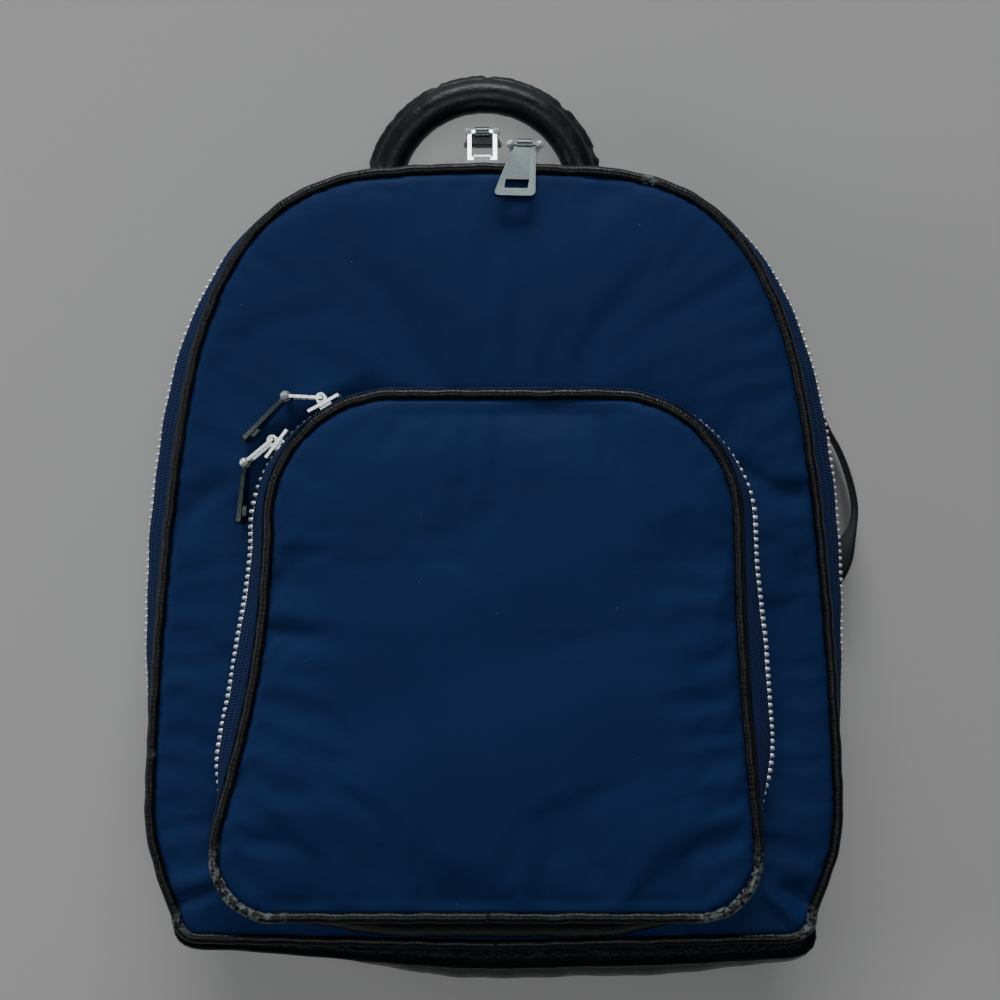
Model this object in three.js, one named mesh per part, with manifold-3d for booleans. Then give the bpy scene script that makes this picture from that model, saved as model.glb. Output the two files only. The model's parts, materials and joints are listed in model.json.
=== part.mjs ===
// A small nylon backpack with leather piping, lying on its back.
// Millimetres. +Z is up, out of the bag's front. +Y runs to the carrying handle, +X to the right.
import * as THREE from 'three';
import { mergeVertices } from 'three/addons/utils/BufferGeometryUtils.js';
import Module from 'manifold-3d';

const wasm = await Module();
wasm.setup();

// ---------- Driving dimensions ----------

const gap = 0.3; // between pieces that touch
const topY = 146; // front seam at the top of the bag
const bottomY = -146; // front seam at the base
const shoulderX = 111.3; // half width where the shoulders end
const shoulderY = 81;
const widestX = 130;
const widestY = -94;
const cornerX = 120; // half width where the bottom corners begin
const cornerY = -136;
const topArcRadius = 510; // the top edge is very nearly straight
const topArcHalf = 42;
const cornerRadius = 10;

const frontZ = 72; // middle of the front piping
const backZ = 10.5; // middle of the back piping
const backPanelZ = 7.4; // underside of the back panel
const backPanelThick = 5;
const panelThick = 2;
const pipingRadius = 2;
const wallThick = 2;

const zipEndY = -78; // both ends of the main zip
const zipZ = 60; // middle of the main zip
const topBulge = 2; // how far the zip stands out at the top
const sideBulge = 7.5; // and at the sides
const baseBulge = 21; // how far the slack leather base bellies out
const toothThick = 2.4;
const toothHeight = 1.2;
const zipSlit = 1.6; // between the two rows, where the sliders' webs run
const tapeThick = 0.8;

const pocketTopShift = 3.5; // the pocket lies a little askew
const pocketBottomShift = -2.8;
const pocketCornerX = 39.7; // half the distance between the top corners' centres
const pocketCornerY = 13;
const pocketCornerRadius = 46.5;
const pocketBottomX = 78;
const pocketBottomY = -136;
const pocketBottomRadius = 22;
const pocketZ = 88; // middle of the pocket's piping
const pocketZipZ = 81;
const pocketZipSide = 6.5; // the pocket zip stands out of the seam at the sides
const pocketZipDrop = 4.7; // its corner arcs lie this much lower, so its top hides under the seam
const pocketZipEndY = -100;

const sliderLength = 13;
const sliderWidth = 10;
const plateThick = 1.2;
const plateGap = 1.6; // zip's middle to the near face of a plate
const webThick = 1;
const tunnelLength = 6.6;
const tunnelRadius = 2;
const tunnelSink = 0.4; // the bridge is sunk this far into the plate
const pivotOut = plateGap + plateThick + tunnelRadius - tunnelSink; // the bail's pivot
const webLength = 5;
const footLength = 9;
const wire = 1.5;
const bailWidth = 11.4;
const bailReach = 13; // between a bail's two cross bars
const tabLength = 23;
const tabThick = 1.5;

const handleRadius = 40.4;
const handleTube = 7.2;
const handleShift = -4;
const handleZ = 30;

const strapThick = 4.6;
const strapEndY = -54;
const strapX = 40;
const webbingWidth = 20;
const webbingThick = 1.6;

// ---------- Materials ----------

const look = (color, roughness, metalness = 0) =>
  new THREE.MeshStandardMaterial({ color, roughness, metalness });
const nylon = look(0x0b2144, 0.75);
const leather = look(0x0c1418, 0.45);
const tapeCloth = look(0x1b2a4a, 0.85);
const nickel = look(0xb9bcbc, 0.25, 1);
const webbingCloth = look(0x101c33, 0.8);
const boardStuff = look(0x3a3a3a, 0.8);
const lining = look(0x3c3f45, 0.85);

const bag = new THREE.Group();

function add(name, geometry, material) {
  const mesh = new THREE.Mesh(geometry, material);
  mesh.name = name;
  bag.add(mesh);
}

// ---------- Geometry helpers ----------

const vec = (x, y, z) => new THREE.Vector3(x, y, z);

function signedVolume(positions, index) {
  const [a, b, c] = [vec(), vec(), vec()];
  let total = 0;
  for (let i = 0; i < index.length; i += 3) {
    a.fromArray(positions, 3 * index[i]);
    b.fromArray(positions, 3 * index[i + 1]);
    c.fromArray(positions, 3 * index[i + 2]);
    total += a.dot(b.cross(c));
  }
  return total;
}

// A closed solid through a row of equal rings. A closed row joins its last ring to its first.
function loft(rings, closed = false) {
  const count = rings[0].length;
  const positions = rings.flat().flatMap((point) => point.toArray());
  const index = [];
  const spans = closed ? rings.length : rings.length - 1;
  for (let row = 0; row < spans; row += 1) {
    const next = (row + 1) % rings.length;
    for (let k = 0; k < count; k += 1) {
      const after = (k + 1) % count;
      const [a, b] = [row * count + k, row * count + after];
      const [c, d] = [next * count + after, next * count + k];
      index.push(a, b, c, a, c, d);
    }
  }
  if (!closed) {
    for (const [row, flip] of [[0, true], [rings.length - 1, false]]) {
      for (let k = 0; k < count / 2 - 1; k += 1) {
        const quad = [k, k + 1, count - 2 - k, count - 1 - k].map((n) => row * count + n);
        const [a, b, c, d] = flip ? quad.reverse() : quad;
        index.push(a, b, c, a, c, d);
      }
    }
  }
  if (signedVolume(positions, index) < 0) {
    index.reverse();
  }
  const geometry = new THREE.BufferGeometry();
  geometry.setAttribute('position', new THREE.Float32BufferAttribute(positions, 3));
  geometry.setIndex(index);
  return dropSlivers(geometry);
}

// Capping quads that shrink to a line leave triangles with no area: they are taken out.
function dropSlivers(geometry) {
  const merged = mergeVertices(geometry, 1e-4);
  const index = Array.from(merged.index.array);
  const kept = [];
  for (let i = 0; i < index.length; i += 3) {
    const [a, b, c] = index.slice(i, i + 3);
    if (a !== b && b !== c && a !== c) {
      kept.push(a, b, c);
    }
  }
  merged.setIndex(kept);
  merged.computeVertexNormals();
  return merged;
}

// Points of a flat path, each with its outward normal.
function stations(points, closed = false) {
  return points.map((point, i) => {
    const last = points.length - 1;
    const before = points[i > 0 ? i - 1 : closed ? last : 0];
    const after = points[i < last ? i + 1 : closed ? 0 : last];
    const along = after.clone().sub(before).normalize();
    return { x: point.x, y: point.y, normal: new THREE.Vector2(-along.y, along.x) };
  });
}

const place = (station, out, z) =>
  vec(station.x + station.normal.x * out, station.y + station.normal.y * out, z);

// A wall that follows a path: profile(station) lists its middle line as [outward, z] pairs.
function wall(path, profile, thick, closed = false) {
  const rings = path.map((station) => {
    const middle = profile(station).map(([out, z]) => new THREE.Vector2(out, z));
    const sides = stations(middle);
    const left = sides.map((s) => [s.x + (s.normal.x * thick) / 2, s.y + (s.normal.y * thick) / 2]);
    const right = sides.map((s) => [s.x - (s.normal.x * thick) / 2, s.y - (s.normal.y * thick) / 2]);
    return [...left, ...right.reverse()].map(([out, z]) => place(station, out, z));
  });
  return loft(rings, closed);
}

// A round cord along a path, at one height.
function piping(path, z, radius, sides = 6) {
  const rings = path.map((station) => {
    const ring = [];
    for (let k = 0; k < sides; k += 1) {
      const angle = (k / sides) * 2 * Math.PI;
      ring.push(place(station, radius * Math.cos(angle), z + radius * Math.sin(angle)));
    }
    return ring;
  });
  return loft(rings, true);
}

function plate(path, inset, z, thick) {
  const corners = path.map((s) => new THREE.Vector2(s.x - s.normal.x * inset, s.y - s.normal.y * inset));
  const shape = new THREE.Shape(corners);
  return new THREE.ExtrudeGeometry(shape, { depth: thick, bevelEnabled: false }).translate(0, 0, z);
}

function solid(geometry) {
  const bare = geometry.clone();
  bare.deleteAttribute('normal');
  bare.deleteAttribute('uv');
  const merged = mergeVertices(bare, 1e-4);
  const mesh = new wasm.Mesh({
    numProp: 3,
    vertProperties: new Float32Array(merged.attributes.position.array),
    triVerts: new Uint32Array(merged.index.array),
  });
  return new wasm.Manifold(mesh);
}

function fromSolid(manifold) {
  const mesh = manifold.getMesh();
  const geometry = new THREE.BufferGeometry();
  geometry.setAttribute('position', new THREE.BufferAttribute(mesh.vertProperties, 3));
  geometry.setIndex(new THREE.BufferAttribute(mesh.triVerts, 1));
  geometry.computeVertexNormals();
  return geometry;
}

const join = (first, ...others) =>
  fromSolid(others.reduce((sum, next) => sum.add(solid(next)), solid(first)));

// ---------- Outlines ----------

// The front seam, round from the middle of the base by the left side and the top.
function bagOutline() {
  const arcDrop = topArcRadius - Math.sqrt(topArcRadius ** 2 - topArcHalf ** 2);
  const arcAngle = Math.asin(topArcHalf / topArcRadius);
  const path = new THREE.Path();
  path.moveTo(0, bottomY);
  path.lineTo(-cornerX + cornerRadius, bottomY);
  path.quadraticCurveTo(-cornerX, bottomY, -cornerX, cornerY);
  path.bezierCurveTo(-125, -122, -130.5, -110, -widestX, widestY);
  path.bezierCurveTo(-128, -34, -121, 48, -shoulderX, shoulderY);
  path.bezierCurveTo(-99.5, 118, -82, 141, -topArcHalf, topY - arcDrop);
  path.absarc(0, topY - topArcRadius, topArcRadius, Math.PI / 2 + arcAngle, Math.PI / 2 - arcAngle, true);
  path.bezierCurveTo(82, 141, 99.5, 118, shoulderX, shoulderY);
  path.bezierCurveTo(121, 48, 128, -34, widestX, widestY);
  path.bezierCurveTo(130.5, -110, 125, -122, cornerX, cornerY);
  path.quadraticCurveTo(cornerX, bottomY, cornerX - cornerRadius, bottomY);
  path.closePath();
  return path;
}

// The pocket's seam, round the same way. Its sides run in before they flare to the base.
function pocketOutline() {
  const sideX = pocketCornerX + pocketCornerRadius;
  const footX = pocketBottomX + pocketBottomRadius;
  const footY = pocketBottomY + pocketBottomRadius;
  const path = new THREE.Path();
  path.moveTo(pocketBottomShift, pocketBottomY);
  path.lineTo(pocketBottomShift - pocketBottomX, pocketBottomY);
  path.absarc(pocketBottomShift - pocketBottomX, footY, pocketBottomRadius, -Math.PI / 2, -Math.PI, true);
  path.bezierCurveTo(
    pocketBottomShift - footX, -92,
    pocketTopShift - sideX - 1, -60,
    pocketTopShift - sideX, pocketCornerY,
  );
  path.absarc(pocketTopShift - pocketCornerX, pocketCornerY, pocketCornerRadius, Math.PI, Math.PI / 2, true);
  path.lineTo(pocketTopShift + pocketCornerX, pocketCornerY + pocketCornerRadius);
  path.absarc(pocketTopShift + pocketCornerX, pocketCornerY, pocketCornerRadius, Math.PI / 2, 0, true);
  path.bezierCurveTo(
    pocketTopShift + sideX + 1, -60,
    pocketBottomShift + footX, -92,
    pocketBottomShift + footX, footY,
  );
  path.absarc(pocketBottomShift + pocketBottomX, footY, pocketBottomRadius, 0, -Math.PI / 2, true);
  path.closePath();
  return path;
}

// Evenly spaced stations round a closed outline.
function around(outline, count) {
  return stations(outline.getSpacedPoints(count).slice(0, count), true);
}

// The part of a closed outline above a height, or below it, as one open run.
function above(outline, height, count) {
  const dense = around(outline, 720);
  return thin(dense.filter((station) => station.y > height), count);
}

function below(outline, height, count) {
  const dense = around(outline, 720);
  const half = dense.length / 2;
  const fromTop = [...dense.slice(half), ...dense.slice(0, half)];
  return thin(fromTop.filter((station) => station.y < height), count);
}

function thin(list, count) {
  const picked = [];
  for (let i = 0; i < count; i += 1) {
    picked.push(list[Math.round((i * (list.length - 1)) / (count - 1))]);
  }
  return picked;
}

const bagPath = bagOutline();
const pocketPath = pocketOutline();

// ---------- Main zip ----------

// How far the zip stands out of the seam: least on the top arc and at the zip's ends.
function zipOut(station) {
  const arcEnd = topY - topArcHalf ** 2 / (2 * topArcRadius);
  const down = THREE.MathUtils.clamp((arcEnd - station.y) / (arcEnd - zipEndY), 0, 1);
  return topBulge + (sideBulge - topBulge) * Math.sin(Math.PI * down);
}

const zipRun = above(bagPath, zipEndY, 56);
const frontToothZ = zipZ + zipSlit / 2 + toothHeight / 2;
const rearToothZ = zipZ - zipSlit / 2 - toothHeight / 2;
const tapeNear = zipSlit / 2 + toothHeight + gap;
const tapeStraight = 6; // the tape stays upright this far, as wide as a slider

function toothRow(run, z) {
  const profile = (s) => [[zipOut(s), z - toothHeight / 2], [zipOut(s), z + toothHeight / 2]];
  return wall(run, profile, toothThick);
}

add('main_zip_teeth_front', toothRow(zipRun, frontToothZ), nickel);
add('main_zip_teeth_rear', toothRow(zipRun, rearToothZ), nickel);

const frontTape = (s) => [
  [zipOut(s), zipZ + tapeNear],
  [zipOut(s), zipZ + tapeStraight],
  [0.8, frontZ - pipingRadius - gap - tapeThick / 2],
];
add('main_zip_tape_front', wall(zipRun, frontTape, tapeThick), tapeCloth);

const rearTapeEndZ = 48;
const rearTape = (s) => [
  [zipOut(s), zipZ - tapeNear],
  [zipOut(s), zipZ - tapeStraight],
  [zipOut(s) * 0.9, rearTapeEndZ],
];
add('main_zip_tape_rear', wall(zipRun, rearTape, tapeThick), tapeCloth);

// ---------- Shell ----------

const backPanelTop = backPanelZ + backPanelThick;
const wallFootZ = backZ + pipingRadius + 2 * gap + 0.4;
const rearGusset = (s) => [
  [zipOut(s) * 0.9 - 0.3, rearTapeEndZ - gap - 0.2],
  [zipOut(s) * 0.8, 32],
  [-0.5, wallFootZ],
];
add('rear_gusset', wall(zipRun, rearGusset, wallThick), nylon);

const baseRun = below(bagPath, zipEndY - gap, 40);
const baseGusset = (s) => {
  const belly = THREE.MathUtils.lerp(3, baseBulge, Math.max(0, -s.normal.y) ** 2);
  const low = wallFootZ + wallThick / 2;
  const high = frontZ - pipingRadius - gap - wallThick / 2;
  const points = [];
  for (let k = 0; k <= 5; k += 1) {
    const angle = (k / 5) * Math.PI;
    points.push([-1 + belly * Math.sin(angle), THREE.MathUtils.lerp(low, high, (1 - Math.cos(angle)) / 2)]);
  }
  return points.reverse();
};
add('base_gusset', wall(baseRun, baseGusset, wallThick), leather);

const seamRing = around(bagPath, 76);
add('back_piping', piping(seamRing, backZ, pipingRadius), leather);
add('back_panel', plate(seamRing, pipingRadius + gap, backPanelZ, backPanelThick), nylon);
add('front_piping', piping(seamRing, frontZ, pipingRadius), leather);
add('front_panel', plate(seamRing, pipingRadius + gap, frontZ - 1, panelThick), nylon);

const boardWidth = 196;
const boardHeight = 42;
const board = new THREE.BoxGeometry(boardWidth, 2, boardHeight);
board.translate(0, bottomY - 5, 42);
add('base_board', board, boardStuff);

const slipPocket = new THREE.Shape([
  new THREE.Vector2(-78, -118),
  new THREE.Vector2(78, -118),
  new THREE.Vector2(82, 20),
  new THREE.Vector2(-82, 20),
]);
const slip = new THREE.ExtrudeGeometry(slipPocket, { depth: 1, bevelEnabled: false });
add('inner_slip_pocket', slip.translate(0, 0, backPanelTop + gap), lining);

// ---------- Front pocket ----------

const pocketZipRun = above(pocketPath, pocketZipEndY, 72);
const pocketRing = around(pocketPath, 68);
const panelTop = frontZ - 1 + panelThick;
const frontToothPocketZ = pocketZipZ + zipSlit / 2 + toothHeight / 2;
const rearToothPocketZ = pocketZipZ - zipSlit / 2 - toothHeight / 2;

// Round each top corner the zip keeps to an arc of its own, which the sliders follow.
const pocketArcRadius = pocketCornerRadius + pocketZipSide;
function pocketZipOut(station) {
  const up = Math.max(0, station.normal.y);
  const reach = Math.sqrt(pocketArcRadius ** 2 - pocketZipDrop ** 2 * (1 - up ** 2));
  return reach - pocketZipDrop * up - pocketCornerRadius;
}

function pocketRow(z) {
  const profile = (s) => [
    [pocketZipOut(s), z - toothHeight / 2],
    [pocketZipOut(s), z + toothHeight / 2],
  ];
  return wall(pocketZipRun, profile, toothThick);
}

add('pocket_zip_teeth_front', pocketRow(frontToothPocketZ), nickel);
add('pocket_zip_teeth_rear', pocketRow(rearToothPocketZ), nickel);

const pocketFrontTape = (s) => [
  [pocketZipOut(s), pocketZipZ + tapeNear],
  [pocketZipOut(s), pocketZ - 2.5],
  [pipingRadius + gap + tapeThick, pocketZ],
];
add('pocket_zip_tape_front', wall(pocketZipRun, pocketFrontTape, tapeThick), tapeCloth);

const pocketRearTape = (s) => [
  [pocketZipOut(s), pocketZipZ - tapeNear],
  [pocketZipOut(s), panelTop + gap],
];
add('pocket_zip_tape_rear', wall(pocketZipRun, pocketRearTape, tapeThick), tapeCloth);

const pocketBaseRun = below(pocketPath, pocketZipEndY - gap, 32);
const pocketBase = (s) => {
  const spread = THREE.MathUtils.lerp(pocketZipOut(s), 4.4, Math.max(0, -s.normal.y) ** 2);
  return [[1, pocketZ - pipingRadius - gap - 0.5], [spread, pocketZ - 6], [spread, panelTop + gap]];
};
add('pocket_base_gusset', wall(pocketBaseRun, pocketBase, 1.6), leather);
add('pocket_piping', piping(pocketRing, pocketZ, pipingRadius), leather);
add('pocket_panel', plate(pocketRing, pipingRadius + gap, pocketZ - 1, panelThick), nylon);

// ---------- Sliders, bails and tabs ----------

// In a slider's own frame X runs along the zip, Y out of it and Z across it.
function sliderBody(boreAcross) {
  const far = plateGap + plateThick;
  const middle = plateGap + plateThick / 2;
  const top = bar([0, middle, 0], [sliderLength, plateThick, sliderWidth]);
  const foot = bar([0, -middle, 0], [footLength, plateThick, sliderWidth]);
  const web = bar([0, 0, 0], [webLength, 2 * plateGap + plateThick, webThick]);
  const tunnel = new THREE.Shape();
  tunnel.moveTo(-tunnelRadius, far - tunnelSink);
  tunnel.lineTo(tunnelRadius, far - tunnelSink);
  tunnel.lineTo(tunnelRadius, pivotOut);
  tunnel.absarc(0, pivotOut, tunnelRadius, 0, Math.PI, false);
  tunnel.closePath();
  const bore = new THREE.Path();
  bore.absarc(0, pivotOut, wire / 2 + gap, 0, 2 * Math.PI, true);
  tunnel.holes.push(bore);
  const bridge = new THREE.ExtrudeGeometry(tunnel, {
    depth: tunnelLength, bevelEnabled: false, curveSegments: 8,
  });
  bridge.translate(0, 0, -tunnelLength / 2).rotateY(boreAcross ? 0 : Math.PI / 2);
  return join(top, foot, web, bridge);
}

const bar = ([x, y, z], size) => new THREE.BoxGeometry(...size).translate(x, y, z);

// A bail turns about its own X axis at the origin and reaches along +Y to the tab's pin.
function bailLoop() {
  const outerX = bailWidth / 2;
  const innerX = outerX - wire;
  const frame = new THREE.Shape();
  frame.moveTo(-outerX, -wire / 2);
  frame.lineTo(outerX, -wire / 2);
  frame.lineTo(outerX, bailReach + wire / 2);
  frame.lineTo(-outerX, bailReach + wire / 2);
  frame.closePath();
  const hole = new THREE.Path();
  hole.moveTo(-innerX, wire / 2);
  hole.lineTo(-innerX, bailReach - wire / 2);
  hole.lineTo(innerX, bailReach - wire / 2);
  hole.lineTo(innerX, wire / 2);
  hole.closePath();
  frame.holes.push(hole);
  const flat = wire * 0.7;
  const loop = new THREE.ExtrudeGeometry(frame, { depth: flat, bevelEnabled: false });
  loop.translate(0, 0, -flat / 2);
  const knobs = [-1, 1].map((side) =>
    new THREE.SphereGeometry(1.7, 8, 6).translate(side * (outerX - 0.2), bailReach, 0));
  return join(loop, ...knobs);
}

// A tab hangs from its pin at the origin along +Y, with a window near its free end.
function tabPlate() {
  const blade = new THREE.Shape();
  const start = wire / 2 + gap + 0.5;
  const top = 5;
  const low = 7.6;
  blade.moveTo(-2.8, start);
  blade.lineTo(2.8, start);
  blade.lineTo(top, start + 3.4);
  blade.lineTo(low, tabLength - 2);
  blade.quadraticCurveTo(low, tabLength, low - 2, tabLength);
  blade.lineTo(2 - low, tabLength);
  blade.quadraticCurveTo(-low, tabLength, -low, tabLength - 2);
  blade.lineTo(-top, start + 3.4);
  blade.closePath();
  const window = new THREE.Path();
  window.moveTo(-4.4, tabLength - 7);
  window.lineTo(-4.4, tabLength - 3.2);
  window.lineTo(4.4, tabLength - 3.2);
  window.lineTo(4.4, tabLength - 7);
  window.closePath();
  blade.holes.push(window);
  const sheet = new THREE.ExtrudeGeometry(blade, { depth: tabThick, bevelEnabled: false, curveSegments: 4 });
  sheet.translate(0, 0, -tabThick / 2);
  const eye = new THREE.Shape();
  eye.absarc(0, 0, wire / 2 + gap + 1, 0, 2 * Math.PI, false);
  const bore = new THREE.Path();
  bore.absarc(0, 0, wire / 2 + gap, 0, 2 * Math.PI, true);
  eye.holes.push(bore);
  const curl = new THREE.ExtrudeGeometry(eye, { depth: 5.6, bevelEnabled: false, curveSegments: 8 });
  curl.translate(0, 0, -2.8);
  curl.rotateY(Math.PI / 2);
  return join(sheet, curl);
}

// A frame with its X and Y axes along two given directions.
function framed(geometry, origin, xAxis, yAxis) {
  const x = xAxis.clone().normalize();
  const z = x.clone().cross(yAxis).normalize();
  const y = z.clone().cross(x);
  const matrix = new THREE.Matrix4().makeBasis(x, y, z).setPosition(origin);
  return geometry.applyMatrix4(matrix);
}

function puller(name, { at, along, out, bailTo, tabTo, tabPin, bailAxis, boreAcross }) {
  add(`${name}_slider`, framed(sliderBody(boreAcross), at, along, out), nickel);
  const pivot = at.clone().addScaledVector(out.clone().normalize(), pivotOut);
  add(`${name}_bail`, framed(bailLoop(), pivot, bailAxis, bailTo), nickel);
  const pin = pivot.clone().addScaledVector(bailTo.clone().normalize(), bailReach);
  add(`${name}_tab`, framed(tabPlate(), pin, tabPin, tabTo), nickel);
  return { pivot, pin };
}

const arcPoint = (x) => {
  const radius = topArcRadius + topBulge;
  const angle = Math.asin(x / radius);
  return {
    at: vec(x, topY - topArcRadius + radius * Math.cos(angle), zipZ),
    along: vec(Math.cos(angle), -Math.sin(angle), 0),
    out: vec(Math.sin(angle), Math.cos(angle), 0),
  };
};

const leftX = -4.5;
const rightX = 11.5;
export const pivots = {};
const leftSpot = arcPoint(leftX);
pivots.main_left = puller('main_left', {
  ...leftSpot,
  bailAxis: leftSpot.along,
  bailTo: leftSpot.out.clone().multiplyScalar(0.9).add(vec(0, 0, -0.42)),
  tabPin: leftSpot.along,
  tabTo: vec(0, 0, -1),
  boreAcross: false,
});
const rightSpot = arcPoint(rightX);
pivots.main_right = puller('main_right', {
  ...rightSpot,
  bailAxis: rightSpot.along,
  bailTo: rightSpot.out.clone().multiplyScalar(0.22).add(vec(0, 0, 1)),
  tabPin: rightSpot.along,
  tabTo: rightSpot.out.clone().multiplyScalar(-1).add(vec(0, 0, 0.4)),
  boreAcross: false,
});

const cornerCentre = vec(pocketTopShift - pocketCornerX, pocketCornerY - pocketZipDrop, pocketZipZ);
function cornerSpot(degrees) {
  const angle = THREE.MathUtils.degToRad(degrees);
  const radial = vec(Math.cos(angle), Math.sin(angle), 0);
  return {
    at: cornerCentre.clone().addScaledVector(radial, pocketArcRadius),
    along: vec(Math.sin(angle), -Math.cos(angle), 0),
    out: radial,
  };
}

// The pocket's pullers swing across the zip instead of along it, so their tabs stand on edge.
const upright = vec(0, 0, 1);
pivots.pocket_upper = puller('pocket_upper', {
  ...cornerSpot(119),
  bailAxis: upright,
  bailTo: vec(-0.97, 0.05, 0),
  tabPin: upright,
  tabTo: vec(-0.68, -0.73, 0),
  boreAcross: true,
});
pivots.pocket_lower = puller('pocket_lower', {
  ...cornerSpot(143),
  bailAxis: upright,
  bailTo: vec(-0.77, -0.64, 0),
  tabPin: upright,
  tabTo: vec(-0.08, -1, 0),
  boreAcross: true,
});

// ---------- Handle ----------

const handleRootY = topY + topBulge + 1 + gap + handleTube;
const handleCentreY = topY - 1.6;
const rootAngle = Math.asin((handleRootY - handleCentreY) / handleRadius);
const rootX = handleRadius * Math.cos(rootAngle);
export const handleAxis = vec(handleShift, handleRootY, handleZ);

function handleGeometry() {
  const steps = 22;
  const rings = [];
  for (let i = 0; i <= steps; i += 1) {
    const angle = THREE.MathUtils.lerp(Math.PI - rootAngle, rootAngle, i / steps);
    const outward = vec(Math.cos(angle), Math.sin(angle), 0);
    const middle = vec(handleShift, handleCentreY, handleZ).addScaledVector(outward, handleRadius);
    rings.push(ringAt(middle, outward, vec(0, 0, 1), handleTube, 10));
  }
  const feet = [-1, 1].map((side) =>
    new THREE.SphereGeometry(handleTube, 12, 8).translate(handleShift + side * rootX, handleRootY, handleZ));
  return join(loft(rings), ...feet);
}

function ringAt(middle, across, up, radius, sides) {
  const ring = [];
  for (let k = 0; k < sides; k += 1) {
    const angle = (k / sides) * 2 * Math.PI;
    ring.push(middle.clone()
      .addScaledVector(across, radius * Math.cos(angle))
      .addScaledVector(up, radius * Math.sin(angle)));
  }
  return ring;
}

add('handle', handleGeometry(), leather);

// ---------- Straps, folded under the bag ----------

// A flat strap along a route in plan. tilt(t) turns it on edge, width(t) tapers it.
function ribbon(route, width, thick, lowZ, tilt, steps) {
  const rings = [];
  for (let i = 0; i <= steps; i += 1) {
    const t = i / steps;
    const middle = route.getPointAt(t);
    const along = route.getTangentAt(t);
    const side = vec(along.y, -along.x, 0).normalize();
    const angle = tilt(t);
    const across = side.multiplyScalar(Math.cos(angle)).add(vec(0, 0, Math.sin(angle)));
    const normal = across.clone().cross(along).normalize();
    const halfUp = (width(t) / 2) * Math.abs(Math.sin(angle)) + (thick / 2) * Math.abs(Math.cos(angle));
    middle.z = lowZ + halfUp;
    const corner = (a, b) =>
      middle.clone().addScaledVector(across, (a * width(t)) / 2).addScaledVector(normal, (b * thick) / 2);
    rings.push([corner(-1, -1), corner(1, -1), corner(1, 1), corner(-1, 1)]);
  }
  return loft(rings);
}

const flat = () => 0;
const smooth = (from, to, t) => THREE.MathUtils.smoothstep(t, from, to);

const yoke = new THREE.Shape([
  new THREE.Vector2(-52, 112),
  new THREE.Vector2(-46, 132),
  new THREE.Vector2(46, 132),
  new THREE.Vector2(52, 112),
]);
const yokeGeometry = new THREE.ExtrudeGeometry(yoke, { depth: 4, bevelEnabled: false });
add('strap_yoke', yokeGeometry.translate(0, 0, 1.5), leather);

const anchorY = -124;
for (const [side, name] of [[-1, 'left'], [1, 'right']]) {
  const padRoute = new THREE.CatmullRomCurve3([
    vec(side * 26, 108.3, 0),
    vec(side * 31, 60, 0),
    vec(side * 37, 0, 0),
    vec(side * strapX, strapEndY, 0),
  ]);
  const padWidth = (t) => 44 - 14 * smooth(0.55, 1, t);
  add(`shoulder_strap_${name}`, ribbon(padRoute, padWidth, strapThick, 1.4, flat, 14), nylon);

  // Only the right strap bows out from under the bag, where it turns on edge.
  const bow = side > 0 ? 1 : 0.64;
  const inPlan = (x, y) => vec(side * x, y, 0);
  const bowed = (x, y) => inPlan(84 + (x - 84) * bow, -20 + (y + 20) * bow);
  const webbingRoute = new THREE.CatmullRomCurve3([
    inPlan(strapX, strapEndY - 2),
    inPlan(strapX, strapEndY - 16),
    inPlan(strapX, strapEndY - 32),
    inPlan(strapX, strapEndY - 44),
    inPlan(46, -112),
    inPlan(60, -119),
    inPlan(74, -113),
    inPlan(82, -98),
    inPlan(84, -60),
    bowed(85, 0),
    bowed(92, 46),
    bowed(98, 59),
    bowed(112, 66),
    bowed(128, 61),
    bowed(143, 44),
    bowed(151, 18),
    bowed(146, 0),
    bowed(132, -18),
    inPlan(116, -46),
    inPlan(108, -76),
    inPlan(105, -100),
    inPlan(104, anchorY + 8),
  ]);
  const onEdge = (t) => -1.7 * smooth(0.555, 0.645, t) * (1 - smooth(0.715, 0.805, t));
  const tilt = side > 0 ? onEdge : flat;
  const webbing = ribbon(webbingRoute, () => webbingWidth, webbingThick, 1.6, tilt, 58);
  add(`webbing_${name}`, webbing, webbingCloth);

  const anchor = new THREE.Shape([
    new THREE.Vector2(side * 91, anchorY - 14),
    new THREE.Vector2(side * 91, anchorY + 5.5),
    new THREE.Vector2(side * 117, anchorY + 5.5),
    new THREE.Vector2(side * 112, anchorY - 14),
  ]);
  const anchorGeometry = new THREE.ExtrudeGeometry(anchor, { depth: 4, bevelEnabled: false });
  add(`lower_anchor_${name}`, anchorGeometry.translate(0, 0, 1.6), leather);

  // A three-bar adjuster round the webbing's straight run.
  const halfX = 14;
  const halfY = 7;
  const rim = new THREE.Shape([
    new THREE.Vector2(-halfX, 0),
    new THREE.Vector2(halfX, 0),
    new THREE.Vector2(halfX, 5),
    new THREE.Vector2(-halfX, 5),
  ]);
  const slot = new THREE.Path();
  const slotX = webbingWidth / 2 + 0.6;
  slot.moveTo(-slotX, 1.2);
  slot.lineTo(-slotX, 3.8);
  slot.lineTo(slotX, 3.8);
  slot.lineTo(slotX, 1.2);
  slot.closePath();
  rim.holes.push(slot);
  const adjuster = new THREE.ExtrudeGeometry(rim, { depth: 2 * halfY, bevelEnabled: false });
  adjuster.translate(0, 0, -halfY);
  adjuster.rotateX(Math.PI / 2);
  adjuster.translate(side * strapX, strapEndY - 12, 0);
  add(`strap_adjuster_${name}`, adjuster, nickel);
}

// ---------- Origin: bottom centre of the whole bag ----------

const box = new THREE.Box3().setFromObject(bag);
const centre = box.getCenter(new THREE.Vector3());
bag.position.set(-centre.x, -centre.y, -box.min.z);

export const shift = bag.position;
export default bag;
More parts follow.
